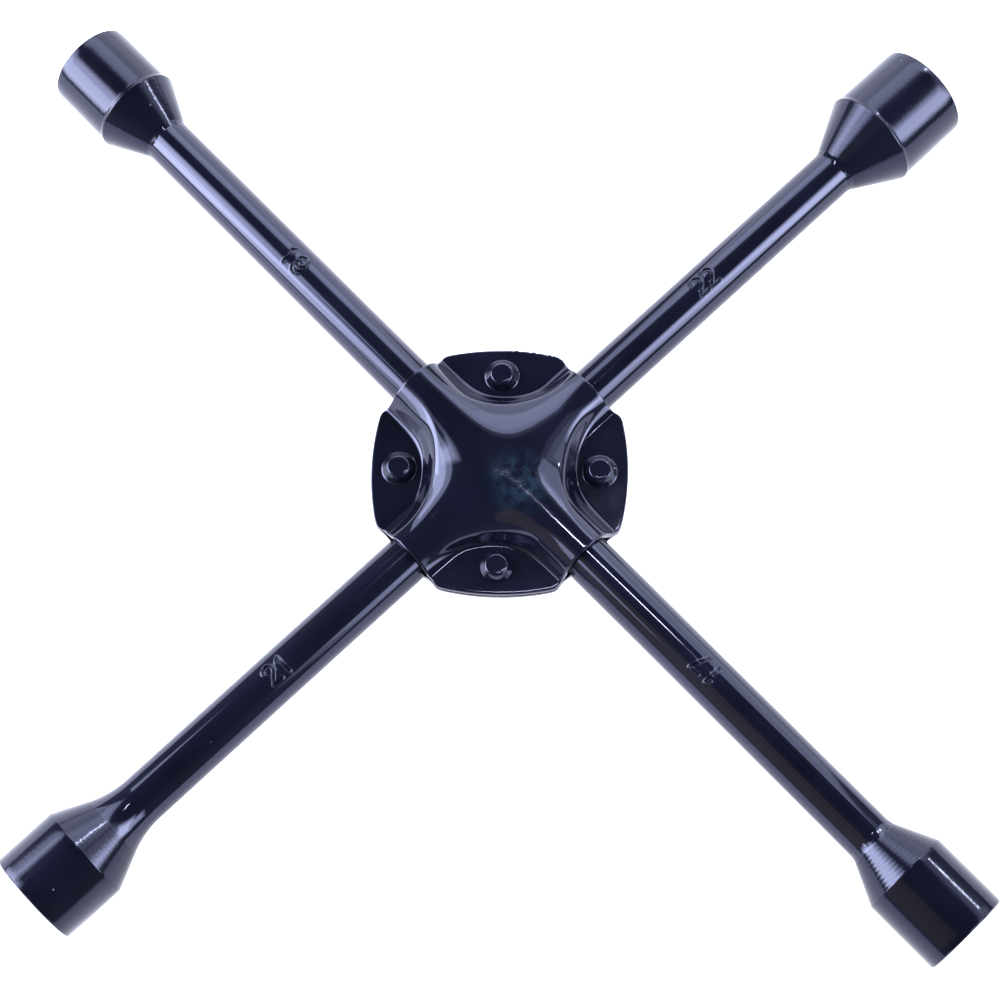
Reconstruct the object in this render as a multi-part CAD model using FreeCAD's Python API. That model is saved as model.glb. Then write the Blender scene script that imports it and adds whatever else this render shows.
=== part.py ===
import FreeCAD, Part
import math
import os

from FreeCAD import Placement, Rotation, Vector

os.makedirs("parts", exist_ok=True)

# Four-way wheel nut wrench, millimetres.  The bars lie along X and Y and pass each other at the
# origin, the X bar a little above the middle plane and the Y bar as far below it.  +Z is the face
# that carries the stamped sizes.

# --- driving dimensions ---------------------------------------------------------------------------
BAR_R = 8.0                 # both bars are 16 mm round steel
BAR_RISE = 2.5              # height of the X bar's axis over the middle plane, and depth of the Y bar's
FIT_GAP = 0.05              # radial room between a bar and whatever is fitted round it

SHEET = 2.0                 # thickness of the pressed hub plates
CHANNEL_GAP = 0.1           # room between a bar and the channel pressed over it
CHANNEL_END = 40.5          # the channels end this far from the centre
FLANGE_REACH = 41.6         # middle of a flange's outer edge, from the centre
FLANGE_CORNER = (19.2, 39.3)     # end of that edge: sideways, outwards
FLANGE_SIDE = 10.4          # half width of a plate's edge across a bar

CROWN_R = 150.0             # arch of the crown, from the higher channel down to the lower one's ends
RECESS_OUT = 52.0           # axis of the conical recess round each rivet, from the centre
RECESS_R = 27.8             # radius of the recess where it meets the flange
RECESS_SLOPE = 20.0         # lean of the recess wall from upright, degrees

RIVET_OUT = 32.5            # rivets from the centre, between the bars
RIVET_SHANK_R = 3.0
RIVET_HOLE_R = 3.1
RIVET_BASE_R = 5.2
RIVET_TOP_R = 3.4
RIVET_HEAD = 3.2
RIVET_ROUNDING = 0.5

HEX_DEPTH = 17.0            # depth of the hexagon from the mouth
RECESS_PAST_SHOULDER = 1.0  # the stud bore ends this far behind the shoulder
BAR_STOP = 5.0              # the bar's end is this far behind the shoulder
STUD_BORE_LESS = 1.0        # the stud bore's radius is this much under half the hexagon's width
MOUTH_ROUND = 0.8           # rounding of the mouth's outer edge
MOUTH_LEAD = 0.7            # the lead-in is this much wider than the hexagon's corners
LEAD_SLOPE = 30.0           # lean of the lead-in from upright, degrees

CROSS_WELD_LEG = 5.0        # legs of the fillet welds in the corners of the crossing
CROSS_WELD_HALF_HEIGHT = 3.0

DIGIT_HALF_WIDTH = 1.8      # stamped figures, measured on the centre line of the stroke
DIGIT_HALF_HEIGHT = 3.0
DIGIT_STROKE = 1.0
DIGIT_PITCH = 4.9
DIGIT_DEPTH = 0.45

# One entry for each arm.  turn: direction from the centre, degrees.  reach: centre to mouth.
# r: outside radius.  body: length of the cylindrical part.  cone: half angle of the neck, degrees.
# lip: how much the shoulder stands proud.  weld: radius of the fillet between neck and bar.
# stamp: where the figures are, from the centre.  text_turn: reading direction, degrees.
ARMS = {
    17: dict(turn=0, reach=205.0, r=14.6, body=25.5, cone=25.6, lip=0.0, weld=12.0,
             stamp=94.0, text_turn=180),
    22: dict(turn=90, reach=198.5, r=17.0, body=25.8, cone=27.9, lip=0.3, weld=11.0,
             stamp=93.0, text_turn=90),
    19: dict(turn=180, reach=205.0, r=15.1, body=25.0, cone=26.1, lip=0.4, weld=8.0,
             stamp=98.0, text_turn=0),
    21: dict(turn=270, reach=198.5, r=16.1, body=21.2, cone=25.2, lip=0.0, weld=30.0,
             stamp=96.0, text_turn=90),
}

X = Vector(1, 0, 0)
Y = Vector(0, 1, 0)
Z = Vector(0, 0, 1)
ORIGIN = Vector(0, 0, 0)
BIG = 60.0                  # larger than the hub, for cutting it in halves


def tan(degrees):
    return math.tan(math.radians(degrees))


def save(name, shape):
    shape.exportStep("parts/" + name + ".step")


def turned(shape, degrees):
    """A copy of the shape, turned about Z."""
    copy = shape.copy()
    copy.rotate(ORIGIN, Z, degrees)
    return copy


def turned_point(x, y, degrees):
    """The point (x, y, 0), turned about Z."""
    return Rotation(Z, degrees).multVec(Vector(x, y, 0))


def level(turn):
    """Height of the axis of the bar that points along a turn."""
    return BAR_RISE if turn % 180 == 0 else -BAR_RISE


def on_arm(shape, turn):
    """A shape drawn along X, turned to an arm and moved to its bar's height."""
    copy = turned(shape, turn)
    copy.translate(Z * level(turn))
    return copy


def revolved(edges):
    """A solid of revolution about X from edges drawn in the XZ plane."""
    return Part.Face(Part.Wire(edges)).revolve(ORIGIN, X, 360)


def line(a, b):
    """A straight edge between two (x, z) points."""
    return Part.LineSegment(Vector(a[0], 0, a[1]), Vector(b[0], 0, b[1])).toShape()


def arc(a, middle, b):
    """An arc through three (x, z) points."""
    return Part.Arc(*(Vector(p[0], 0, p[1]) for p in (a, middle, b))).toShape()


def lines(points):
    return [line(a, b) for a, b in zip(points, points[1:])]


def rod(radius, start, end):
    """A round rod along X."""
    return Part.makeCylinder(radius, end - start, X * start, X)


# --- sockets --------------------------------------------------------------------------------------
class Socket:
    """The stations of one arm, measured along it from the centre of the wrench."""

    def __init__(self, size):
        arm = ARMS[size]
        self.size = size
        self.turn = arm["turn"]
        self.mouth = arm["reach"]
        self.r = arm["r"]
        self.lip = arm["lip"]
        self.cone = arm["cone"]
        self.shoulder = self.mouth - arm["body"]
        self.recess_end = self.shoulder - RECESS_PAST_SHOULDER
        self.bar_end = self.shoulder - BAR_STOP
        self.hex_end = self.mouth - HEX_DEPTH
        self.corner_r = size / math.sqrt(3)
        self.stud_r = size / 2 - STUD_BORE_LESS
        # The fillet leaves the bar along it and meets the neck at the cone's own angle.
        self.weld_r = arm["weld"]
        self.weld_leg = self.weld_r * math.sin(math.radians(self.cone))
        self.neck_r = BAR_R + self.weld_r * (1 - math.cos(math.radians(self.cone)))
        self.neck = self.shoulder - (self.r + self.lip - self.neck_r) / tan(self.cone)


def hexagon(size, start, end):
    """A hexagonal bar along X, with two flats facing up and down."""
    corner_r = size / math.sqrt(3)
    corners = [Vector(start, corner_r * math.cos(math.radians(60 * i)),
                      corner_r * math.sin(math.radians(60 * i))) for i in range(7)]
    return Part.Face(Part.makePolygon(corners)).extrude(X * (end - start))


def socket_body(s):
    """Outside of a socket, with the seat for the bar: neck, shoulder lip, cylinder, rounded rim."""
    seat_r = BAR_R + FIT_GAP
    round_start = s.mouth - MOUTH_ROUND
    inner = s.r - MOUTH_ROUND
    half = MOUTH_ROUND * math.sin(math.radians(45))
    edges = lines([(s.bar_end, 0), (s.bar_end, seat_r), (s.neck, seat_r), (s.neck, s.neck_r),
                   (s.shoulder, s.r + s.lip)])
    if s.lip:
        lip_end = s.shoulder + 3 * s.lip
        edges += lines([(s.shoulder, s.r + s.lip), (lip_end, s.r), (round_start, s.r)])
    else:
        edges += lines([(s.shoulder, s.r), (round_start, s.r)])
    edges.append(arc((round_start, s.r), (round_start + half, inner + half), (s.mouth, inner)))
    edges += lines([(s.mouth, inner), (s.mouth, 0), (s.bar_end, 0)])
    return revolved(edges)


def socket(s):
    """A hexagon socket: lead-in at the mouth, hexagon, then a round bore that clears the stud."""
    lead_r = s.corner_r + MOUTH_LEAD
    flat_r = s.size / 2
    lead_depth = (lead_r - flat_r) * tan(LEAD_SLOPE)
    lead = Part.makeCone(lead_r, flat_r, lead_depth, X * s.mouth, X * -1)
    body = socket_body(s)
    body = body.cut(hexagon(s.size, s.hex_end, s.mouth + 1))
    body = body.cut(rod(s.stud_r, s.recess_end, s.hex_end + 1))
    body = body.cut(lead)
    return on_arm(body.removeSplitter(), s.turn)


def neck_weld(s):
    """The weld round the bar in front of the neck, with a hollow face."""
    start = s.neck - s.weld_leg
    seat_r = BAR_R + FIT_GAP
    middle_angle = math.radians(s.cone / 2)
    middle = (start + s.weld_r * math.sin(middle_angle), BAR_R + s.weld_r * (1 - math.cos(middle_angle)))
    edges = [arc((start, BAR_R), middle, (s.neck, s.neck_r))]
    edges += lines([(s.neck, s.neck_r), (s.neck, seat_r), (start, seat_r - FIT_GAP)])
    bead = revolved(edges)
    return on_arm(bead.cut(rod(seat_r, start - 1, s.neck + 1)), s.turn)


# --- stamped figures ------------------------------------------------------------------------------
def stroke_end(u, v):
    return Part.makeCylinder(DIGIT_STROKE / 2, BAR_R, Vector(u, v, 0), Z)


def stroke_line(a, b):
    """A straight stroke with round ends, standing on the XY plane."""
    start = Vector(a[0], a[1], 0)
    along = Vector(b[0], b[1], 0) - start
    box = Part.makeBox(along.Length, DIGIT_STROKE, BAR_R, Vector(0, -DIGIT_STROKE / 2, 0))
    box.Placement = Placement(start, Rotation(X, along))
    return box.fuse([stroke_end(*a), stroke_end(*b)])


def stroke_arc(centre, radius, start, sweep):
    """A curved stroke with round ends, from one angle anticlockwise, in degrees."""
    middle = Vector(centre[0], centre[1], 0)
    ring = Part.makeCylinder(radius + DIGIT_STROKE / 2, BAR_R, middle, Z, sweep)
    ring = ring.cut(Part.makeCylinder(radius - DIGIT_STROKE / 2, BAR_R, middle, Z, sweep))
    ring.rotate(middle, Z, start)
    ends = [stroke_end(centre[0] + radius * math.cos(math.radians(angle)),
                       centre[1] + radius * math.sin(math.radians(angle)))
            for angle in (start, start + sweep)]
    return ring.fuse(ends)


def figure(digit):
    """The strokes of one figure, centred on the origin."""
    w = DIGIT_HALF_WIDTH
    h = DIGIT_HALF_HEIGHT
    bowl = (0, h - w)
    if digit == "1":
        return [stroke_line((0, -h), (0, h)), stroke_line((0, h), (-w * 0.6, h * 0.6))]
    if digit == "2":
        return [stroke_arc(bowl, w, -30, 200), stroke_line((w * 0.87, h - w * 1.5), (-w, -h)),
                stroke_line((-w, -h), (w, -h))]
    if digit == "7":
        return [stroke_line((-w, h), (w, h)), stroke_line((w, h), (-w * 0.3, -h))]
    return [stroke_arc(bowl, w, 0, 359), stroke_line((w, h - w), (w, w - h)),
            stroke_arc((0, w - h), w, 200, 160)]


def stamp(size):
    """The cutter for one arm's size figures: strokes down to a floor that follows the bar."""
    arm = ARMS[size]
    strokes = []
    for i, digit in enumerate(str(size)):
        for stroke in figure(digit):
            stroke.translate(X * (DIGIT_PITCH * (i - 0.5)))
            strokes.append(stroke)
    text = strokes[0].fuse(strokes[1:])
    text.rotate(ORIGIN, Z, arm["text_turn"])
    text.translate(turned_point(arm["stamp"], 0, arm["turn"]) + Z * (level(arm["turn"]) + BAR_R / 2))
    return text.cut(on_arm(rod(BAR_R - DIGIT_DEPTH, 0, arm["reach"]), arm["turn"]))


# --- bars -----------------------------------------------------------------------------------------
def bar(plus, minus):
    """A bar between two sockets, notched up to the middle plane for the bar it crosses."""
    turn = ARMS[plus]["turn"]
    whole = on_arm(rod(BAR_R, -Socket(minus).bar_end, Socket(plus).bar_end), turn)
    low = -BIG if level(turn) > 0 else 0
    other_half = Part.makeBox(BIG, BIG, BIG, Vector(-BIG / 2, -BIG / 2, low))
    notch = on_arm(rod(BAR_R + FIT_GAP, -BIG / 2, BIG / 2), turn + 90).common(other_half)
    return whole.cut([notch, stamp(plus), stamp(minus)])


def cross_weld(index):
    """A fillet weld in one corner of the crossing, between the two bars."""
    low = -CROSS_WELD_HALF_HEIGHT
    far = BAR_R + CROSS_WELD_LEG
    inside = BAR_R / 2
    corners = [Vector(inside, inside, low), Vector(far, inside, low), Vector(far, BAR_R, low),
               Vector(BAR_R, far, low), Vector(inside, far, low), Vector(inside, inside, low)]
    bead = Part.Face(Part.makePolygon(corners)).extrude(Z * (2 * CROSS_WELD_HALF_HEIGHT))
    fitted = rod(BAR_R + FIT_GAP, -BIG, BIG)
    return turned(bead, 90 * index).cut([on_arm(fitted, 0), on_arm(fitted, 90)])


# --- hub plates -----------------------------------------------------------------------------------
def plate_outline():
    """Plan of a hub plate: four bowed flange edges, their chamfers, and the edges over the bars."""
    half, out = FLANGE_CORNER
    edges = []
    for turn in range(0, 360, 90):
        start, stop, following = (turned_point(CHANNEL_END, side, turn + step) for side, step in
                                  ((-FLANGE_SIDE, 0), (FLANGE_SIDE, 0), (-FLANGE_SIDE, 90)))
        corner, middle, far_corner = (turned_point(out_by, side, turn + 45) for out_by, side in
                                      ((out, -half), (FLANGE_REACH, 0), (out, half)))
        edges += [Part.LineSegment(start, stop).toShape(),
                  Part.LineSegment(stop, corner).toShape(),
                  Part.Arc(corner, middle, far_corner).toShape(),
                  Part.LineSegment(far_corner, following).toShape()]
    return Part.Wire(edges)


def recess(index, grow):
    """The conical recess of one flange, opening upwards from the middle plane."""
    height = BIG / 2
    low_r = RECESS_R + grow - SHEET * tan(RECESS_SLOPE)
    high_r = low_r + height * tan(RECESS_SLOPE)
    return Part.makeCone(low_r, high_r, height, turned_point(RECESS_OUT, 0, 45 + 90 * index), Z)


def raised_form(inset):
    """The pressed shape: a channel over each bar, and an arched crown cut by four recesses."""
    above = Part.makeBox(2 * BIG, 2 * BIG, BIG, Vector(-BIG, -BIG, 0))
    channel_r = BAR_R + CHANNEL_GAP + SHEET - inset
    reach = CHANNEL_END + inset
    crown = rod(CROWN_R - inset, -CHANNEL_END + SHEET, CHANNEL_END - SHEET)
    crown.translate(Z * (level(0) + BAR_R + CHANNEL_GAP + SHEET - CROWN_R))
    width = 2 * (CHANNEL_END - SHEET)
    crown = crown.common(Part.makeBox(width, width, BIG, Vector(-width / 2, -width / 2, 0)))
    grow = inset / math.cos(math.radians(RECESS_SLOPE))
    crown = crown.cut([recess(i, grow) for i in range(4)])
    return crown.fuse([on_arm(rod(channel_r, -reach, reach), turn).common(above) for turn in (0, 90)])


def hub_plate():
    """The upper pressed plate, open underneath, with a hole for each rivet."""
    slab = Part.Face(plate_outline()).extrude(Z * SHEET)
    plate = slab.fuse(raised_form(0)).cut(raised_form(SHEET))
    hole = Part.makeCylinder(RIVET_HOLE_R, BIG, Vector(RIVET_OUT, 0, -BIG / 2))
    return plate.cut([turned(hole, 45 + 90 * i) for i in range(4)]).removeSplitter()


def other_plate(plate):
    """The lower plate: the upper one turned over, so that its higher channel is over the Y bar."""
    copy = plate.copy()
    copy.rotate(ORIGIN, X + Y, 180)
    return copy


def rivet(index):
    """A rivet through both flanges, with the same tapered head on each side."""
    shank = Part.makeCylinder(RIVET_SHANK_R, 2 * SHEET, Z * -SHEET)
    head = Part.makeCone(RIVET_BASE_R, RIVET_TOP_R, RIVET_HEAD, Z * SHEET)
    rims = [edge for edge in head.Edges if edge.isClosed() and edge.BoundBox.ZMin > SHEET + 1]
    head = head.makeFillet(RIVET_ROUNDING, rims)
    other = head.mirror(ORIGIN, Z)
    whole = shank.fuse([head, other]).removeSplitter()
    whole.translate(X * RIVET_OUT)
    return turned(whole, 45 + 90 * index)


def solid_of(shape, name):
    """The one solid in a shape, checked."""
    assert len(shape.Solids) == 1 and shape.isValid(), (name, len(shape.Solids), shape.isValid())
    return shape.Solids[0]


def main():
    nodes = {
        "bar_19_17": bar(17, 19),
        "bar_21_22": bar(22, 21),
        "plate_top": hub_plate(),
    }
    nodes["plate_bottom"] = other_plate(nodes["plate_top"])
    for size in sorted(ARMS):
        nodes["socket_%d" % size] = socket(Socket(size))
        nodes["neck_weld_%d" % size] = neck_weld(Socket(size))
    for i in range(4):
        nodes["rivet_%d" % (i + 1)] = rivet(i)
        nodes["cross_weld_%d" % (i + 1)] = cross_weld(i)
    for name, shape in nodes.items():
        save(name, solid_of(shape, name))


main()
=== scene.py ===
import math

import bpy
import numpy as np
from mathutils import Matrix, Vector


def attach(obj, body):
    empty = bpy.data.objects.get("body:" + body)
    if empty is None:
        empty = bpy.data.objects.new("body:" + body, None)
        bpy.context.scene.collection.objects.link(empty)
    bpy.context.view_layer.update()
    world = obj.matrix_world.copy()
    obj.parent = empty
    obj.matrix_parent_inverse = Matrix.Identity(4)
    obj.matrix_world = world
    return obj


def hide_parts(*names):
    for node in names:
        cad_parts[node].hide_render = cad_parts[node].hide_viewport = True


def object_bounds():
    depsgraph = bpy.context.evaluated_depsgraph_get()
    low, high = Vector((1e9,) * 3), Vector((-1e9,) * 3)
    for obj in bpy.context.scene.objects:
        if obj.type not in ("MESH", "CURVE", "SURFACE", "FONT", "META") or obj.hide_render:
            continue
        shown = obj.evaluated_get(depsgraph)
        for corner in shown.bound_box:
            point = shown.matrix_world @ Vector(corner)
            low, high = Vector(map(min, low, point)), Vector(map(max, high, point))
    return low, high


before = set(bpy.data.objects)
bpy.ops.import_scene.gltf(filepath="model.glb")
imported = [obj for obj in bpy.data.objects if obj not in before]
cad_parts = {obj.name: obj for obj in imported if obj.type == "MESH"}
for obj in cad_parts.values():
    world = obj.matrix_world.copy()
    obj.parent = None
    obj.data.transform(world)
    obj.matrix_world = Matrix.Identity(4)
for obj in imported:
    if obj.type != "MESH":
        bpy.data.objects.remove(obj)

cad_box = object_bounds()

# The looks of a four-way wheel nut wrench.  Lengths are millimetres unless a name says otherwise,
# and MM turns them into metres.  The bars pass each other at the origin and lie along X and Y.
MM = 0.001

# --- sizes ----------------------------------------------------------------------------------------
ROUND_STEPS = 96            # points round a socket, a bead or a rivet
POLE_R = 0.02               # radius of the tiny ring that closes a flat end

BAR_R = 8.0
BAR_RISE = 2.5              # the X bar's axis over the middle plane, and the Y bar's under it
SEAT_R = 8.05               # bore of a socket's neck, round the bar
NOTCH = 8.05                # half width of the notch where one bar crosses the other
NOTCH_WALL = 0.01           # length over which the notch begins
SHEET = 2.0                 # thickness of a hub plate
CHANNEL_R = 10.1            # outside radius of the channels over the bars
CHANNEL_DRAFTS = (66.0, 48.0)    # steepest slope of the side of the higher and the lower channel
CHANNEL_END = 40.5          # centre of the plate to the end of a channel
CROWN_SLOPE = 0.23          # slope to which the crown falls away on both sides of the X bar
CROWN_ROUND = 3.7           # size of its rounded top
CROWN_FALL = 0.040          # how fast the crown falls between the two ridges, per millimetre
CROWN_FLAT = 14.0           # size of the flatter part where the ridges meet
CHANNEL_SIDE = 10.4         # half width of a channel's end in plan
FLANGE_REACH = 41.6         # centre of the plate to the middle of a flange's edge
FLANGE_CORNER = (19.2, 39.3)     # a flange's corner: along its edge, and out from the centre
FLANGE_LIFT = 0.045         # slope away from the middle plane of the flange between +X and -Y
RECESS_OUT = 52.0           # axis of the conical recess round each rivet, from the centre
RECESS_R = 27.8             # its radius where it meets the flange
RECESS_SLOPE = 20.0         # lean of its wall from upright, degrees
CREST_BLEND = 6.0           # softness of the crest round each recess
FOOT_BLEND = 2.5            # softness of the foot where the pressed shape meets a flange
RIDGE_POWER = 3.0           # how tightly the higher channel runs into the crown
CHANNEL_BLEND = 1.5         # softness between the crown and the lower channel
RIM = 0.4                   # rounding of the plates' cut edges
CORNER_PASSES = 3           # smoothing of the corners in a plate's plan
CORNER_SPREAD = 3           # neighbours on each side that one pass takes in
BURR = 0.30                 # step in X and in Y of the ragged edge of the flange between -X and +Y
BURR_WAVES = (12.9, 5.3)    # its two wave numbers along the edge, radians per millimetre
BURR_START = 3.0            # length over which it grows
BURR_FROM = 36.0            # it lies further out than this
CELLS = 160                 # grid cells along one quarter of a plate's edge

RIVET_OUT = 32.5            # centre of the plate to a rivet's axis
RIVET_SHANK_R = 3.0
RIVET_BASE_R = 5.2
RIVET_TOP_R = 3.4
RIVET_TOP = 5.2             # height of a rivet's head over the middle plane
RIVET_LEANS = ((-1.7, -0.3), (-1.2, 0.8), (1.5, 1.2), (0.4, -2.5))     # about X and Y, degrees
# radius and height round a rivet's head, from its foot on the flange to the middle of its flat top
RIVET_HEAD = (
    (RIVET_BASE_R + 0.55, SHEET + 0.02), (RIVET_BASE_R + 0.2, SHEET + 0.12),
    (RIVET_BASE_R - 0.05, SHEET + 0.45), (RIVET_BASE_R - 0.35, SHEET + 1.1),
    (RIVET_TOP_R + 0.75, RIVET_TOP - 1.1), (RIVET_TOP_R + 0.42, RIVET_TOP - 0.5),
    (RIVET_TOP_R + 0.16, RIVET_TOP - 0.15), (RIVET_TOP_R - 0.15, RIVET_TOP),
    (RIVET_TOP_R - 0.6, RIVET_TOP + 0.02), (RIVET_TOP_R * 0.5, RIVET_TOP + 0.03),
    (POLE_R, RIVET_TOP + 0.04))

HEX_DEPTH = 17.0
BAR_STOP = 5.0              # end of the bar, before the shoulder
RECESS_PAST_SHOULDER = 1.0  # end of the stud bore, before the shoulder
STUD_BORE_LESS = 1.0        # radius of the stud bore, under half the hexagon's width
MOUTH_ROUND = 0.8
MOUTH_LEAD = 0.7            # lead-in at the mouth, wider than the hexagon's corners by this
LEAD_SLOPE = 30.0
CHATTER_PITCH = 1.3         # spacing of the turning marks on a neck
CHATTER_RINGS = 90          # rings along a neck, to carry them
SHOULDER_SOFT = 0.35        # rounding between the neck and the cylinder
LIP_STEPS = ((1.4, 0.75), (2.4, 0.25), (3.4, 0.03))     # how a lip runs out: along and out, in lips
CYLINDER_START = 2.0        # start of the true cylinder, past the shoulder
CYLINDER_RINGS = 10
BEAD_RINGS = 18
BEAD_TAIL = 2.0             # part of a neck's bead that lies hidden in the bar
BEAD_PAST = 1.5             # part of it that lies hidden in the neck

STAMP_ZONE = 7.0            # half length of the fine mesh round a stamp
STAMP_ACROSS = 6.0          # its half width
STAMP_STEPS = (120, 104)    # its steps along and across
BAR_STEPS = 8               # steps along each plain part of a bar
BAR_BACK_STEPS = 44         # points round the part without a stamp

DIGIT_HALF_WIDTH = 1.8
DIGIT_HALF_HEIGHT = 3.0
DIGIT_STROKE = 0.72
DIGIT_PITCH = 4.9
DIGIT_DEPTH = 0.55
DIGIT_WALL = 0.16           # half width of a stroke's sloping side
DIGIT_BURR = 0.10           # height of the edge thrown up round a stroke

# turn: direction, degrees.  reach: centre to mouth.  r: outside radius.  body: cylindrical length.
# cone: half angle of the neck.  lip: how far the shoulder stands proud.  weld: radius of the neck's
# fillet.  ripple: height of the ripples on it.  chatter: height of the turning marks on the neck.
# stamp: distance of the figures.  text_turn: their turn.
ARMS = {
    17: dict(turn=0, reach=205.0, r=14.6, body=25.5, cone=25.6, lip=0.0, weld=7.0, ripple=0.10,
             chatter=0.015, stamp=94.0, text_turn=180),
    22: dict(turn=90, reach=198.5, r=17.0, body=25.8, cone=27.9, lip=0.3, weld=5.0, ripple=0.10,
             chatter=0.002, stamp=93.0, text_turn=90),
    19: dict(turn=180, reach=205.0, r=15.1, body=25.0, cone=26.1, lip=0.4, weld=4.0, ripple=0.12,
             chatter=0.002, stamp=98.0, text_turn=0),
    21: dict(turn=270, reach=198.5, r=16.1, body=21.2, cone=25.2, lip=0.0, weld=30.0, ripple=0.02,
             chatter=0.003, stamp=96.0, text_turn=90),
}

# Looks.  Colours are linear RGB.
PAINT_DEEP, PAINT_PALE = (0.0022, 0.0026, 0.0062), (0.0038, 0.0044, 0.0105)
PAINT_ROUGH = (0.055, 0.09)
# colour of a lighter, bluish patch on the crown
PAINT_BLUE_PATCH = (0.012, 0.030, 0.052)
PAINT_DUST = (0.08, 0.10, 0.17)
PAINT_SHEEN = (0.64, 0.68, 1.0, 1)
HUB_BLUE_PATCH = (9.8, 0.4, 13.0)     # plan point and radius of the lighter, bluish, rougher patch on the crown
STEEL, STEEL_TINT = (0.42, 0.40, 0.38), (0.20, 0.17, 0.22)
FLOOR_DARK, FLOOR_PALE = (0.55, 0.56, 0.60), (0.58, 0.59, 0.63)
FLOOR_GLOW = (0.88, 0.89, 1.0, 1)
FLOOR_GLOW_STRENGTH = 0.90
FLOOR_HALF_M = 12.0
FLOOR_GAP = 0.05            # between the floor and the lowest point of the wrench
BLUE_WHITE, WHITE, WARM = (0.86, 0.89, 1.0), (1.0, 1.0, 1.0), (1.0, 0.73, 0.25)
# brightness of the studio's walls: from straight down over level to straight up
WALLS = ((0.0, (0.30, 0.30, 0.34, 1)), (0.5, (0.22, 0.22, 0.26, 1)), (1.0, (0.02, 0.02, 0.022, 1)))

# camera
LENS = 81.152
SENSOR = 36.0
CAMERA_TARGET_M = Vector((0.0068841, -0.0063152, 0.0))
CAMERA_DISTANCE_M = 0.727595
CAMERA_AZIMUTH = 52.245
CAMERA_ELEVATION = 72.287
CAMERA_ROLL = 5.924


# --- meshes ---------------------------------------------------------------------------------------
def add_piece(name, points, faces, material, nodes, sharp=35.0):
    """A piece of the wrench from points in millimetres, standing for the named CAD nodes.  Its
    edges are sharp from an angle in degrees."""
    mesh = bpy.data.meshes.new(name)
    mesh.from_pydata([tuple(p) for p in np.asarray(points) * MM], [], faces)
    mesh.validate()
    mesh.shade_smooth()
    mesh.set_sharp_from_angle(angle=math.radians(sharp))
    mesh.materials.append(material)
    piece = bpy.data.objects.new(name, mesh)
    bpy.context.scene.collection.objects.link(piece)
    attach(piece, "root")
    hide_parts(*nodes)


def turned(points, degrees):
    """Points turned about Z."""
    a = math.radians(degrees)
    turn = np.array([[math.cos(a), -math.sin(a), 0], [math.sin(a), math.cos(a), 0], [0, 0, 1]])
    return np.asarray(points) @ turn.T


def tube_faces(rings, steps, closed):
    """Quads between successive rings of points, and from the last to the first when closed."""
    faces = []
    for i in range(rings if closed else rings - 1):
        a, b = i * steps, (i + 1) % rings * steps
        faces += [(a + j, b + j, b + (j + 1) % steps, a + (j + 1) % steps) for j in range(steps)]
    return faces


def flipped(faces):
    """The same faces, looking the other way."""
    return [tuple(reversed(face)) for face in faces]


def rod_faces(rings, steps):
    """The side and both ends of a rod, facing outward when the rings run up its axis."""
    last = (rings - 1) * steps
    ends = [tuple(reversed(range(steps))), tuple(range(last, last + steps))]
    return flipped(tube_faces(rings, steps, False)) + ends


def ring(x, radius):
    """One ring of points about X; x and radius are numbers or arrays over the angles."""
    angle = np.arange(ROUND_STEPS) * 2 * math.pi / ROUND_STEPS
    x = np.broadcast_to(x, angle.shape)
    return np.stack([x, radius * np.cos(angle), radius * np.sin(angle)], 1)


def bar_level(degrees):
    """Height of the axis of the bar that points along a turn."""
    return BAR_RISE if degrees % 180 == 0 else -BAR_RISE


def smooth_max(a, b, k):
    """The larger of two values, with a soft change from one to the other over a width of k."""
    h = np.maximum(0, 1 - np.abs(a - b) / k)
    return np.maximum(a, b) + h * h * k / 4


def smooth_min(a, b, k):
    return -smooth_max(-a, -b, k)


def smooth_step(t):
    t = np.clip(t, 0, 1)
    return t * t * (3 - 2 * t)


# --- hub plates -----------------------------------------------------------------------------------
def channel_height(across, level, draft):
    """Height of a channel's outside at a distance across its axis."""
    across = np.abs(across)
    slope = math.radians(draft)
    edge = CHANNEL_R * math.sin(slope)
    circle = np.sqrt(np.maximum(CHANNEL_R ** 2 - np.minimum(across, edge) ** 2, 0))
    return level + circle - np.maximum(across - edge, 0) * math.tan(slope)


def plate_height(x, y):
    """Height of the upper plate's outer face over the middle plane."""
    top = BAR_RISE + CHANNEL_R
    between = x ** 2 * y ** 2 / (x ** 2 + y ** 2 + CROWN_FLAT ** 2)
    crown = top + CROWN_ROUND - np.hypot(CROWN_ROUND, CROWN_SLOPE * y) - CROWN_FALL * between
    for i in range(4):
        middle = turned([[RECESS_OUT, 0, 0]], 45 + 90 * i)[0]
        away = np.hypot(x - middle[0], y - middle[1])
        wall = SHEET + (away - RECESS_R) / math.tan(math.radians(RECESS_SLOPE))
        crown = smooth_min(crown, wall, CREST_BLEND)
    higher = channel_height(y, BAR_RISE, CHANNEL_DRAFTS[0])
    drops = [np.maximum(top - height, 1e-4) ** -RIDGE_POWER for height in (crown, higher)]
    raised = top - sum(drops) ** (-1 / RIDGE_POWER)
    lower = channel_height(x, -BAR_RISE, CHANNEL_DRAFTS[1])
    flange = SHEET + FLANGE_LIFT * np.maximum((x - y) / math.sqrt(2) - RECESS_OUT + RECESS_R, 0)
    return smooth_max(smooth_max(raised, lower, CHANNEL_BLEND), flange, FOOT_BLEND)


def plate_normal(x, y):
    """Unit normals of the upper plate's outer face."""
    step = 0.02
    slope_x = (plate_height(x + step, y) - plate_height(x - step, y)) / (2 * step)
    slope_y = (plate_height(x, y + step) - plate_height(x, y - step)) / (2 * step)
    normal = np.stack([-slope_x, -slope_y, np.ones_like(slope_x)], -1)
    return normal / np.linalg.norm(normal, axis=-1, keepdims=True)


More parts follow.
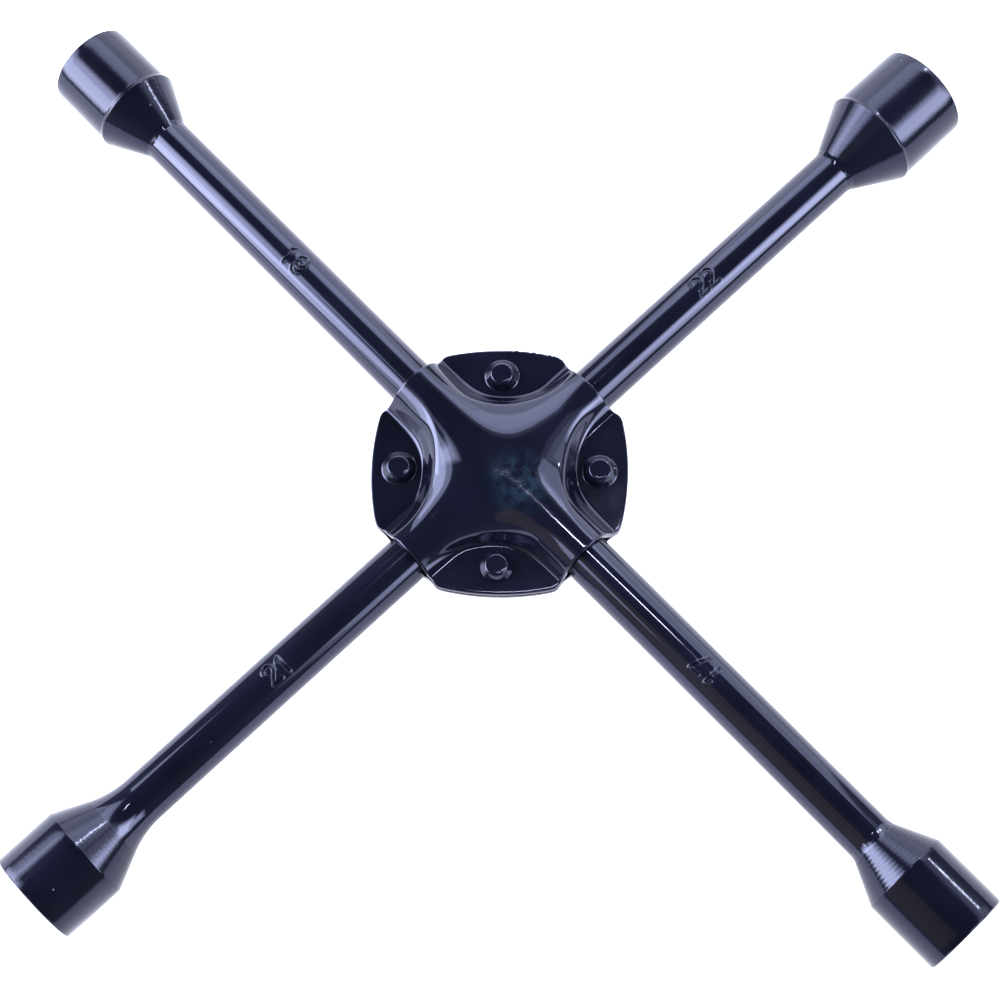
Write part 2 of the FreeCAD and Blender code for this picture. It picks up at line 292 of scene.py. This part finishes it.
def arc_points(a, middle, b, count):
    """Points along the circle through three plan points, without the last."""
    a, middle, b = (np.array(p, float) for p in (a, middle, b))
    matrix = 2 * np.array([middle - a, b - a])
    centre = np.linalg.solve(matrix, [middle @ middle - a @ a, b @ b - a @ a])
    start, stop = (math.atan2(*(p - centre)[::-1]) for p in (a, b))
    sweep = (stop - start + math.pi) % (2 * math.pi) - math.pi
    angle = start + sweep * np.arange(count) / count
    radius = np.linalg.norm(a - centre)
    return centre + radius * np.stack([np.cos(angle), np.sin(angle)], 1)


def plate_boundary(burr_height):
    """Plan of a hub plate, anticlockwise from the middle of the flange between -X and -Y, with a
    ragged edge on half of the flange between -X and +Y."""
    half, out = FLANGE_CORNER
    chamfer_count = CELLS // 9
    arc_count = (CELLS - CELLS // 4 - 2 * chamfer_count) // 2
    across_count = CELLS - 2 * chamfer_count - 2 * arc_count

    def plan(reach, side, degrees):
        return turned([[reach, side, 0]], degrees)[0][:2]

    def straight(a, b, count):
        t = np.arange(count)[:, None] / count
        return a * (1 - t) + b * t

    points = []
    for turn in (270, 0, 90, 180):
        low, high = (plan(CHANNEL_END, side, turn) for side in (-CHANNEL_SIDE, CHANNEL_SIDE))
        before, after = turn - 45, turn + 45
        arc_before, arc_after = (arc_points(plan(out, -half, flange), plan(FLANGE_REACH, 0, flange),
                                            plan(out, half, flange), 2 * arc_count)
                                 for flange in (before, after))
        points += [arc_before[arc_count:], straight(plan(out, half, before), low, chamfer_count),
                   straight(low, high, across_count),
                   straight(high, plan(out, -half, after), chamfer_count), arc_after[:arc_count]]
    points = np.concatenate(points)
    shifts = range(-CORNER_SPREAD, CORNER_SPREAD + 1)
    for _ in range(CORNER_PASSES):
        points = sum(np.roll(points, k, 0) for k in shifts) / len(shifts)
    along, away = (points @ [[1, -1], [1, 1]] / math.sqrt(2)).T
    waves = np.abs(np.sin(BURR_WAVES[0] * along) * np.sin(BURR_WAVES[1] * along))
    ragged = burr_height * waves * smooth_step(along / BURR_START)
    burr = np.where((away > BURR_FROM) & (along > 0), ragged, 0)
    return points + burr[:, None] * [-1, 1]


def square_grid(boundary):
    """Plan points of a square grid stretched so that its edge is the boundary."""
    n = CELLS
    index = np.arange(n + 1)
    u, v = np.meshgrid(2 * index / n - 1, 2 * index / n - 1)
    scale = np.maximum(np.abs(u), np.abs(v))
    safe = np.where(scale == 0, 1, scale)
    pu, pv = u / safe, v / safe
    along = np.select(
        [pv <= -1 + 1e-9, pu >= 1 - 1e-9, pv >= 1 - 1e-9],
        [(pu + 1) / 2, 1 + (pv + 1) / 2, 2 + (1 - pu) / 2], 3 + (1 - pv) / 2) * n
    low = np.floor(along + 1e-6).astype(int)
    part = (along - low)[..., None]
    edge = boundary[low % (4 * n)] * (1 - part) + boundary[(low + 1) % (4 * n)] * part
    return scale[..., None] * edge


def edge_loop():
    """Indices of a square grid's edge, anticlockwise from its low corner."""
    n = CELLS
    row = n + 1
    return (list(range(n)) + [j * row + n for j in range(n)]
            + [n * row + n - i for i in range(n)] + [(n - j) * row for j in range(n)])


def hub_plate(name, node, material, turned_over):
    """A pressed plate with rounded cut edges.  The lower one is the upper one turned over."""
    boundary = plate_boundary(0 if turned_over else BURR)
    along = np.roll(boundary, -1, 0) - np.roll(boundary, 1, 0)
    outward = np.stack([along[:, 1], -along[:, 0]], 1)
    outward /= np.linalg.norm(outward, axis=1, keepdims=True)
    plan = square_grid(boundary - outward * RIM)
    x, y = plan[..., 0], plan[..., 1]
    normal = plate_normal(x, y).reshape(-1, 3)
    upper = np.stack([x, y, plate_height(x, y)], -1).reshape(-1, 3)
    lower = upper - normal * SHEET
    count = len(upper)

    loop = edge_loop()
    up = normal[loop]
    out = np.concatenate([outward, np.zeros((len(outward), 1))], 1)
    out -= (out * up).sum(1, keepdims=True) * up
    out /= np.linalg.norm(out, axis=1, keepdims=True)
    rims = []
    for face, side in ((upper, 1), (lower, -1)):
        for degrees in (30, 60, 90)[::side]:
            s, c = math.sin(math.radians(degrees)), math.cos(math.radians(degrees))
            rims.append(face[loop] + RIM * (s * out - side * (1 - c) * up))

    row = CELLS + 1
    cells = [(j * row + i, j * row + i + 1, (j + 1) * row + i + 1, (j + 1) * row + i)
             for j in range(CELLS) for i in range(CELLS)]
    faces = cells + [tuple(count + k for k in reversed(cell)) for cell in cells]
    starts = [2 * count + k * len(loop) for k in range(len(rims))]
    loops = [loop] + [list(range(start, start + len(loop))) for start in starts]
    loops.append([count + i for i in loop])
    for a, b in zip(loops, loops[1:]):
        faces += [(a[i], b[i], b[(i + 1) % len(a)], a[(i + 1) % len(a)]) for i in range(len(a))]
    points = np.concatenate([upper, lower] + rims)
    if turned_over:
        points = points[:, [1, 0, 2]] * (1, 1, -1)
    add_piece(name, points, faces, material, [node])


# --- rivets ---------------------------------------------------------------------------------------
def rivet(index, lean, material):
    """A rivet whose two heads are flat discs on soft tapered collars, each leaning a little."""
    lean_x, lean_y = (Matrix.Rotation(math.radians(a), 3, axis) for a, axis in zip(lean, "XY"))
    tilt = np.array(lean_x @ lean_y)
    rings = []
    for side in (1, -1):
        for radius, z in RIVET_HEAD if side < 0 else reversed(RIVET_HEAD):
            loop = ring(z * side, radius)[:, [1, 2, 0]]
            share = max(0.0, (z - SHEET) / (RIVET_TOP - SHEET))
            base = np.array([0, 0, SHEET * side])
            rings.append(base + (loop - base) @ (np.eye(3) * (1 - share) + tilt * share).T)
        if side > 0:
            rings += [ring(z, RIVET_SHANK_R)[:, [1, 2, 0]] for z in (SHEET, -SHEET)]
    points = turned(np.concatenate(rings) + (RIVET_OUT, 0, 0), 45 + 90 * index)
    faces = flipped(rod_faces(len(rings), ROUND_STEPS))     # the rings run down
    name = "rivet_%d" % (index + 1)
    add_piece(name + "_formed", points, faces, material, [name], sharp=60)


# --- sockets --------------------------------------------------------------------------------------
class Stations:
    """The stations of one arm, measured along it from the centre of the wrench."""

    def __init__(self, size):
        arm = ARMS[size]
        self.turn = arm["turn"]
        self.level = bar_level(self.turn)
        self.mouth, self.r, self.lip = arm["reach"], arm["r"], arm["lip"]
        self.weld_r = arm["weld"]
        self.cone = math.radians(arm["cone"])
        self.shoulder = self.mouth - arm["body"]
        self.recess_end = self.shoulder - RECESS_PAST_SHOULDER
        self.bar_end = self.shoulder - BAR_STOP
        self.hex_end = self.mouth - HEX_DEPTH
        self.corner_r = size / math.sqrt(3)
        self.stud_r = size / 2 - STUD_BORE_LESS
        self.weld_leg = self.weld_r * math.sin(self.cone)
        self.neck_r = BAR_R + self.weld_r * (1 - math.cos(self.cone))
        self.neck = self.shoulder - (self.r + self.lip - self.neck_r) / math.tan(self.cone)


def hexagon_radius(size):
    """Distance to the side of a hexagon with two flats facing up and down, round the ring."""
    angle = np.arange(ROUND_STEPS) * 360 / ROUND_STEPS
    return size / 2 / np.cos(np.radians(angle % 60 - 30))


def socket_shell(size, material):
    """A socket from its neck to its mouth, with the lead-in, the hexagon and the stud bore."""
    s = Stations(size)
    hexagon = hexagon_radius(size)
    lead_r = s.corner_r + MOUTH_LEAD
    lead_depth = (lead_r - hexagon) * math.tan(math.radians(LEAD_SLOPE))
    rings = [ring(s.bar_end, POLE_R), ring(s.bar_end, SEAT_R), ring(s.neck, SEAT_R),
             ring(s.neck, s.neck_r)]
    for t in np.linspace(0.05, 0.97, CHATTER_RINGS):
        along = (s.shoulder - s.neck) * t
        mark = ARMS[size]["chatter"] * math.sin(2 * math.pi * along / CHATTER_PITCH)
        rings.append(ring(s.neck + along, s.neck_r + (s.r + s.lip - s.neck_r) * t + mark))
    for along, under in ((-0.3, 0.12), (0.4, 0.05)):
        rings.append(ring(s.shoulder + SHOULDER_SOFT * along, s.r + s.lip - SHOULDER_SOFT * under))
    if s.lip:
        rings += [ring(s.shoulder + s.lip * along, s.r + s.lip * out) for along, out in LIP_STEPS]
    start = s.shoulder + CYLINDER_START
    stop = s.mouth - MOUTH_ROUND
    rings += [ring(start + (stop - start) * t, s.r) for t in np.linspace(0, 1, CYLINDER_RINGS)]
    inner = s.r - MOUTH_ROUND
    for degrees in (22.5, 45, 67.5, 90):
        a = math.radians(degrees)
        rings.append(ring(stop + MOUTH_ROUND * math.sin(a), inner + MOUTH_ROUND * math.cos(a)))
    rings += [ring(s.mouth, lead_r + 0.25), ring(s.mouth - 0.12, lead_r - 0.03),
              ring(s.mouth - lead_depth, hexagon), ring(s.hex_end, hexagon),
              ring(s.hex_end, s.stud_r), ring(s.recess_end, s.stud_r), ring(s.recess_end, POLE_R)]
    faces = rod_faces(len(rings), ROUND_STEPS)
    points = turned(np.concatenate(rings), s.turn) + (0, 0, s.level)
    add_piece("socket_%d_shell" % size, points, faces, material,
              ["socket_%d" % size], sharp=22)


def neck_bead(size, material):
    """The weld in front of a neck: a hollow fillet that runs out along the bar, with ripples."""
    s = Stations(size)
    ripple = ARMS[size]["ripple"]
    angle = np.arange(ROUND_STEPS) * 2 * math.pi / ROUND_STEPS
    start = s.neck - s.weld_leg
    # ripples round the bead, between -1 and 1, and the wander of its toe along the bar
    coarse = np.sin(angle * 17 + 1.7 * np.sin(angle * 3 + size))
    wave = coarse * 0.6 + 0.4 * np.sin(angle * 29 + size)
    toe = 0.35 * np.sin(angle * 5 + size) + 0.2 * np.sin(angle * 11)
    rings = [ring(start - BEAD_TAIL, BAR_R - 0.03)]
    for t in np.linspace(0, 1, BEAD_RINGS):
        a = s.cone * t
        swell = math.sin(math.pi * min(1.0, t * 1.05)) ** 2
        x = start + s.weld_r * math.sin(a) + (1 - t) * toe * min(1.0, ripple * 10)
        radius = BAR_R + s.weld_r * (1 - math.cos(a)) + ripple * swell * (0.5 + 0.5 * wave)
        rings.append(ring(x, radius - 0.01 * (1 - t)))
    rings += [ring(s.neck + BEAD_PAST, s.neck_r + BEAD_PAST * math.tan(s.cone) - 0.03),
              ring(s.neck + BEAD_PAST, SEAT_R), ring(start - BEAD_TAIL, BAR_R - 0.1)]
    faces = flipped(tube_faces(len(rings), ROUND_STEPS, True))
    points = turned(np.concatenate(rings), s.turn) + (0, 0, s.level)
    add_piece("neck_weld_%d_bead" % size, points, faces, material,
              ["neck_weld_%d" % size], sharp=50)


# --- bars -----------------------------------------------------------------------------------------
def stroke_distance(u, v, digit):
    """Distance from plan points to the centre line of one stamped figure."""
    w, h = DIGIT_HALF_WIDTH, DIGIT_HALF_HEIGHT

    def segment(a, b):
        a, b = np.array(a, float), np.array(b, float)
        t = np.clip(((u - a[0]) * (b - a)[0] + (v - a[1]) * (b - a)[1]) / ((b - a) @ (b - a)), 0, 1)
        return np.hypot(u - a[0] - t * (b - a)[0], v - a[1] - t * (b - a)[1])

    def bow(centre, start, sweep):
        angle = np.degrees(np.arctan2(v - centre[1], u - centre[0]))
        inside = (angle - start) % 360 <= sweep
        ends = [np.hypot(u - centre[0] - w * math.cos(a), v - centre[1] - w * math.sin(a))
                for a in (math.radians(start), math.radians(start + sweep))]
        on_arc = np.abs(np.hypot(u - centre[0], v - centre[1]) - w)
        return np.where(inside, on_arc, np.minimum(*ends))

    bowl = (0, h - w)
    if digit == "1":
        parts = [segment((0, -h), (0, h)), segment((0, h), (-w * 0.6, h * 0.6))]
    elif digit == "2":
        parts = [bow(bowl, -30, 200), segment((w * 0.87, h - w * 1.5), (-w, -h)),
                 segment((-w, -h), (w, -h))]
    elif digit == "7":
        parts = [segment((-w, h), (w, h)), segment((w, h), (-w * 0.3, -h))]
    else:
        parts = [bow(bowl, 0, 360), segment((w, h - w), (w, w - h)), bow((0, w - h), 200, 160)]
    return np.minimum.reduce(parts)


def stamp_depth(x, y, size):
    """How far the surface of a bar is pressed in by its size figures, at plan points."""
    arm = ARMS[size]
    middle = turned([[arm["stamp"], 0, 0]], arm["turn"])[0]
    from_middle = np.stack([x - middle[0], y - middle[1], np.zeros_like(x)], -1)
    local = turned(from_middle, -arm["text_turn"])
    u, v = local[..., 0], local[..., 1]
    distance = np.minimum.reduce([stroke_distance(u - DIGIT_PITCH * (i - 0.5), v, digit)
                                  for i, digit in enumerate(str(size))])
    burr = np.exp(-((distance - DIGIT_STROKE / 2 - 2 * DIGIT_WALL) / DIGIT_WALL) ** 2)
    wall = smooth_step((DIGIT_STROKE / 2 + DIGIT_WALL - distance) / (2 * DIGIT_WALL))
    return DIGIT_DEPTH * wall - DIGIT_BURR * burr


def bar(name, plus, minus, axis_turn, material):
    """A round bar through the crossing, notched there for the other bar, with stamped figures."""
    ends = Stations(plus).bar_end, Stations(minus).bar_end
    stamps = ARMS[plus]["stamp"], ARMS[minus]["stamp"]
    marks = [-ends[1], -stamps[1] - STAMP_ZONE, -stamps[1] + STAMP_ZONE,
             -NOTCH - NOTCH_WALL, -NOTCH, NOTCH, NOTCH + NOTCH_WALL,
             stamps[0] - STAMP_ZONE, stamps[0] + STAMP_ZONE, ends[0]]
    half = [BAR_STEPS, STAMP_STEPS[0], BAR_STEPS, 1]
    counts = half + [2] + half[::-1]
    stretches = [np.linspace(a, b, n, endpoint=False) for a, b, n in zip(marks, marks[1:], counts)]
    x = np.concatenate(stretches + [[ends[0]]])
    across = np.linspace(-STAMP_ACROSS, STAMP_ACROSS, STAMP_STEPS[1])
    top = np.degrees(np.arccos(across / BAR_R))[::-1]
    rest = np.linspace(top[-1], top[0] + 360, BAR_BACK_STEPS)[1:-1]
    angle = np.radians(np.concatenate([top, rest]))
    steps = len(angle)
    gx, ga = np.meshgrid(x, angle, indexing="ij")
    plan = turned(np.stack([gx, BAR_R * np.cos(ga), np.zeros_like(gx)], -1), axis_turn)
    pressed = np.zeros_like(gx)
    for size in (plus, minus):
        near = stamp_depth(plan[..., 0], plan[..., 1], size)
        upper_side = np.sin(ga) > 0.3
        pressed += np.where(upper_side & (np.abs(near) > 1e-4), near, 0)
    radius = BAR_R - pressed
    points = np.stack([gx, radius * np.cos(ga), radius * np.sin(ga)], -1)
    level = bar_level(axis_turn)
    notched = np.abs(gx) <= NOTCH
    z = points[..., 2]
    kept = np.maximum(z, -level) if level > 0 else np.minimum(z, -level)
    points[..., 2] = np.where(notched, kept, z)
    points = turned(points.reshape(-1, 3), axis_turn) + (0, 0, level)
    faces = rod_faces(len(x), steps)
    add_piece(name + "_drawn", points, faces, material, [name], sharp=80)


# --- materials ------------------------------------------------------------------------------------
class Nodes:
    """A material's node tree, with short ways to add and join nodes."""

    def __init__(self, name):
        self.material = bpy.data.materials.new(name)
        self.material.use_nodes = True
        self.tree = self.material.node_tree
        self.tree.nodes.clear()
        self.shader = self.add("ShaderNodeBsdfPrincipled")
        output = self.add("ShaderNodeOutputMaterial")
        self.link(self.shader.outputs[0], output.inputs["Surface"])
        self.place = self.add("ShaderNodeTexCoord").outputs["Object"]

    def add(self, kind, **settings):
        node = self.tree.nodes.new(kind)
        for key, value in settings.items():
            setattr(node, key, value)
        return node

    def link(self, a, b):
        self.tree.links.new(a, b)

    def noise(self, scale, detail=3.0, rough=0.5, stretch=None):
        """Noise over the object's own space; scale counts features per metre."""
        node = self.add("ShaderNodeTexNoise")
        node.inputs["Scale"].default_value = scale
        node.inputs["Detail"].default_value = detail
        node.inputs["Roughness"].default_value = rough
        place = self.place
        if stretch:
            mapping = self.add("ShaderNodeMapping")
            mapping.inputs["Scale"].default_value = stretch
            self.link(place, mapping.inputs["Vector"])
            place = mapping.outputs[0]
        self.link(place, node.inputs["Vector"])
        return node.outputs["Fac"]

    def spots(self, scale, size, share):
        """Small round spots scattered in a share of the cells, 1 in a spot and 0 outside."""
        cells = self.add("ShaderNodeTexVoronoi")
        cells.inputs["Scale"].default_value = scale
        self.link(self.place, cells.inputs["Vector"])
        spot = self.span(cells.outputs["Distance"], size, size * 0.5, 0, 1)
        pick = self.add("ShaderNodeSeparateColor")
        self.link(cells.outputs["Color"], pick.inputs[0])
        chosen = self.span(pick.outputs[0], 1 - share, 1 - share + 0.01, 0, 1)
        return self.math("MULTIPLY", spot, chosen)

    def patch(self, x, y, radius):
        """A patch with a ragged outline round a plan point: 1 inside, 0 outside."""
        apart = self.add("ShaderNodeVectorMath", operation="DISTANCE")
        self.link(self.place, apart.inputs[0])
        apart.inputs[1].default_value = (x * MM, y * MM, (BAR_RISE + CHANNEL_R) * MM)
        near = self.span(apart.outputs["Value"], radius * MM, 0, 0, 1)
        ragged = self.span(self.noise(260, 5.0, 0.65), 0.42, 0.62, 0, 1)
        return self.math("MULTIPLY", near, ragged)

    def span(self, value, low, high, to_low, to_high):
        """A value carried over from one range to another."""
        node = self.add("ShaderNodeMapRange")
        ends = {"From Min": low, "From Max": high, "To Min": to_low, "To Max": to_high}
        for key, number in ends.items():
            node.inputs[key].default_value = number
        self.link(value, node.inputs["Value"])
        return node.outputs["Result"]

    def math(self, operation, a, b):
        node = self.add("ShaderNodeMath", operation=operation)
        for socket, value in zip(node.inputs, (a, b)):
            if isinstance(value, (int, float)):
                socket.default_value = value
            else:
                self.link(value, socket)
        return node.outputs[0]

    def mix(self, share, a, b):
        """A colour between two, each a socket or a colour."""
        node = self.add("ShaderNodeMix", data_type="RGBA")
        self.link(share, node.inputs["Factor"])
        for socket, value in zip((node.inputs[6], node.inputs[7]), (a, b)):
            if isinstance(value, tuple):
                socket.default_value = (*value, 1)
            else:
                self.link(value, socket)
        return node.outputs[2]

    def bump(self, height, distance, under=None):
        """Bump whose height of 1 stands for a distance in metres."""
        node = self.add("ShaderNodeBump")
        node.inputs["Distance"].default_value = distance
        node.inputs["Strength"].default_value = 1.0
        self.link(height, node.inputs["Height"])
        if under:
            self.link(under, node.inputs["Normal"])
        return node.outputs["Normal"]


def gloss_paint(name, ripple, specks, satin=0.0, shine=0.5, blue_patch=None):
    """Gloss black stoved paint with a blue cast: soft orange peel, dust specks and faint smears.
    ripple is the height of the orange peel and specks the share of cells with a speck.  satin adds
    a fine grain and takes off some of the gloss, shine is the strength of reflections."""
    n = Nodes(name)
    tone = n.noise(35, 2.0)
    colour = n.mix(n.span(tone, 0.35, 0.7, 0, 1), PAINT_DEEP, PAINT_PALE)
    smear = n.noise(70, 4.0, 0.6)
    smoothest, roughest = PAINT_ROUGH
    rough = n.span(smear, 0.35, 0.75, smoothest + satin, roughest + satin)
    # a lighter, bluish patch on the crown, with more roughness
    if blue_patch:
        in_patch = n.patch(*blue_patch)
        colour = n.mix(n.math("MULTIPLY", in_patch, 0.6), colour, PAINT_BLUE_PATCH)
        rough = n.math("ADD", rough, n.math("MULTIPLY", in_patch, 0.12))
    dust = n.spots(330, 0.13, specks)
    colour = n.mix(dust, colour, PAINT_DUST)
    rough = n.math("MAXIMUM", rough, n.math("MULTIPLY", dust, 0.5))
    peel = n.bump(n.noise(160, 1.5, 0.4), ripple * MM)
    pits = n.bump(dust, 0.03 * MM, peel)
    if satin:
        pits = n.bump(n.noise(1400, 2.0), 0.02 * MM, pits)
    n.link(colour, n.shader.inputs["Base Color"])
    n.link(rough, n.shader.inputs["Roughness"])
    n.link(pits, n.shader.inputs["Normal"])
    n.shader.inputs["Specular IOR Level"].default_value = shine
    n.shader.inputs["Specular Tint"].default_value = PAINT_SHEEN
    return n.material


def brushed_steel(name):
    """Bare weld steel with heat tint, for the fillets hidden inside the hub."""
    n = Nodes(name)
    grain = n.noise(900, 4.0, 0.6, (1, 1, 6))
    tint = n.noise(160, 3.0)
    colour = n.mix(n.span(tint, 0.35, 0.7, 0, 1), STEEL, STEEL_TINT)
    n.link(colour, n.shader.inputs["Base Color"])
    n.link(n.span(grain, 0.3, 0.7, 0.28, 0.5), n.shader.inputs["Roughness"])
    n.link(n.bump(grain, 0.05 * MM), n.shader.inputs["Normal"])
    n.shader.inputs["Metallic"].default_value = 1.0
    return n.material


def studio_floor(name):
    """Plain pale floor, lit a little from below like a light table."""
    n = Nodes(name)
    cloud = n.noise(3, 2.0)
    n.link(n.mix(cloud, FLOOR_DARK, FLOOR_PALE), n.shader.inputs["Base Color"])
    n.link(n.span(cloud, 0.3, 0.7, 0.75, 0.85), n.shader.inputs["Roughness"])
    n.shader.inputs["Specular IOR Level"].default_value = 0.1
    n.shader.inputs["Emission Color"].default_value = FLOOR_GLOW
    n.shader.inputs["Emission Strength"].default_value = FLOOR_GLOW_STRENGTH
    return n.material


# --- studio ---------------------------------------------------------------------------------------
def direction(azimuth, elevation):
    """Unit vector towards an azimuth, anticlockwise from +X, and an elevation, in degrees."""
    a, e = math.radians(azimuth), math.radians(elevation)
    return Vector((math.cos(a) * math.cos(e), math.sin(a) * math.cos(e), math.sin(e)))


def panel(name, start, end, height, distance, radiance, colour):
    """A flat studio light facing the wrench.  Its width runs between two directions, its height is
    an angle in degrees and its distance is in metres."""
    a, b = direction(*start), direction(*end)
    away, across = (a + b).normalized(), (b - a).normalized()
    light = bpy.data.lights.new(name, "AREA")
    light.shape = "RECTANGLE"
    light.size = 2 * distance * math.tan(a.angle(b) / 2)
    light.size_y = 2 * distance * math.tan(math.radians(height / 2))
    light.energy = radiance * math.pi * light.size * light.size_y
    light.color = colour
    lamp = bpy.data.objects.new(name, light)
    bpy.context.scene.collection.objects.link(lamp)
    place = Matrix((across, away.cross(across), away)).transposed().to_4x4()
    place.translation = away * distance
    lamp.matrix_world = place


def softbox(name, start, end, height, distance, radiance, colour):
    """A panel that fades towards its edges: three panels, one behind the other."""
    low, high = start[0], end[0]
    for i, (size, share) in enumerate(((0.7, 0.4), (1.0, 0.35), (1.25, 0.25))):
        spread = (high - low) * (1 - size) / 2
        panel("%s_%d" % (name, i + 1), (low + spread, start[1]), (high - spread, end[1]),
              height * size, distance + 0.03 * i, radiance * share, colour)


def studio():
    softbox("light_left", (196, 24), (249, 24), 36, 1.3, 22.0, BLUE_WHITE)
    softbox("light_left_top", (210, 50), (230, 50), 16, 1.4, 8.0, BLUE_WHITE)
    softbox("light_right", (22, 29), (50, 29), 30, 1.3, 18.0, BLUE_WHITE)
    softbox("light_right_wing", (52, 31), (80, 31), 34, 1.4, 3.0, BLUE_WHITE)
    panel("light_far", (107, 24), (160, 24), 52, 1.3, 3.3, BLUE_WHITE)
    softbox("light_far_top", (107, 38), (160, 38), 22, 1.4, 2.8, BLUE_WHITE)
    panel("light_far_wing", (86, 26), (107, 26), 46, 1.35, 3.6, BLUE_WHITE)
    softbox("light_right_low", (3, 25), (22, 25), 22, 1.38, 9.0, BLUE_WHITE)
    panel("light_spot_1", (77, 32.8), (80.2, 32.8), 2.8, 1.25, 100.0, WHITE)
    panel("light_spot_2", (107.6, 45.4), (112, 45.4), 2.8, 1.25, 100.0, WHITE)
    panel("light_line", (148.5, 76.9), (106.6, 73.7), 0.8, 1.2, 150.0, WHITE)
    panel("light_warm", (254, 34), (285, 34), 56, 1.5, 0.5, WARM)

    world = bpy.data.worlds.new("studio")
    bpy.context.scene.world = world
    world.use_nodes = True
    tree = world.node_tree
    background = tree.nodes["Background"]
    place = tree.nodes.new("ShaderNodeTexCoord")
    split = tree.nodes.new("ShaderNodeSeparateXYZ")
    ramp = tree.nodes.new("ShaderNodeValToRGB")
    tree.links.new(place.outputs["Generated"], split.inputs[0])
    tree.links.new(split.outputs["Z"], ramp.inputs["Fac"])
    stops = ramp.color_ramp.elements
    stops.new(WALLS[1][0])
    for stop, (position, colour) in zip(stops, WALLS):
        stop.position, stop.color = position, colour
    tree.links.new(ramp.outputs[0], background.inputs["Color"])
    background.inputs["Strength"].default_value = 1.0


def floor():
    z = cad_box[0].z - FLOOR_GAP * MM
    mesh = bpy.data.meshes.new("floor")
    signs = ((-1, -1), (1, -1), (1, 1), (-1, 1))
    corners = [(x * FLOOR_HALF_M, y * FLOOR_HALF_M, z) for x, y in signs]
    mesh.from_pydata(corners, [], [(0, 1, 2, 3)])
    mesh.materials.append(studio_floor("floor_pale"))
    ground = bpy.data.objects.new("floor", mesh)
    bpy.context.scene.collection.objects.link(ground)


def camera():
    data = bpy.data.cameras.new("camera")
    data.lens = LENS
    data.sensor_width = SENSOR
    a, e, r = (math.radians(v) for v in (CAMERA_AZIMUTH, CAMERA_ELEVATION, CAMERA_ROLL))
    back = Vector((math.sin(a) * math.cos(e), -math.cos(a) * math.cos(e), math.sin(e)))
    level_up = (Vector((0, 0, 1)) - back * back.z).normalized()
    up = level_up * math.cos(r) + level_up.cross(back) * math.sin(r)
    place = Matrix((up.cross(back), up, back)).transposed().to_4x4()
    place.translation = CAMERA_TARGET_M + back * CAMERA_DISTANCE_M
    viewer = bpy.data.objects.new("camera", data)
    bpy.context.scene.collection.objects.link(viewer)
    viewer.matrix_world = place
    bpy.context.scene.camera = viewer


# --- build ----------------------------------------------------------------------------------------
bar_paint = gloss_paint("bar_paint", 0.005, 0.010)
socket_paint = gloss_paint("socket_paint", 0.012, 0.02, satin=0.05, shine=0.36)
plate_paint = gloss_paint("plate_paint", 0.012, 0.008, blue_patch=HUB_BLUE_PATCH)
rivet_paint = gloss_paint("rivet_paint", 0.015, 0.02)
weld_paint = gloss_paint("weld_paint", 0.020, 0.03)
weld_steel = brushed_steel("weld_steel")

bar("bar_19_17", 17, 19, 0, bar_paint)
bar("bar_21_22", 22, 21, 90, bar_paint)
for size in sorted(ARMS):
    socket_shell(size, socket_paint)
    neck_bead(size, weld_paint)
hub_plate("plate_top_pressed", "plate_top", plate_paint, False)
hub_plate("plate_bottom_pressed", "plate_bottom", plate_paint, True)
for index, lean in enumerate(RIVET_LEANS):
    rivet(index, lean, rivet_paint)
for index in range(4):
    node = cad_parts["cross_weld_%d" % (index + 1)]
    for material_slot in node.material_slots:
        material_slot.material = weld_steel

floor()
studio()
camera()
bpy.context.scene.view_settings.view_transform = "Standard"
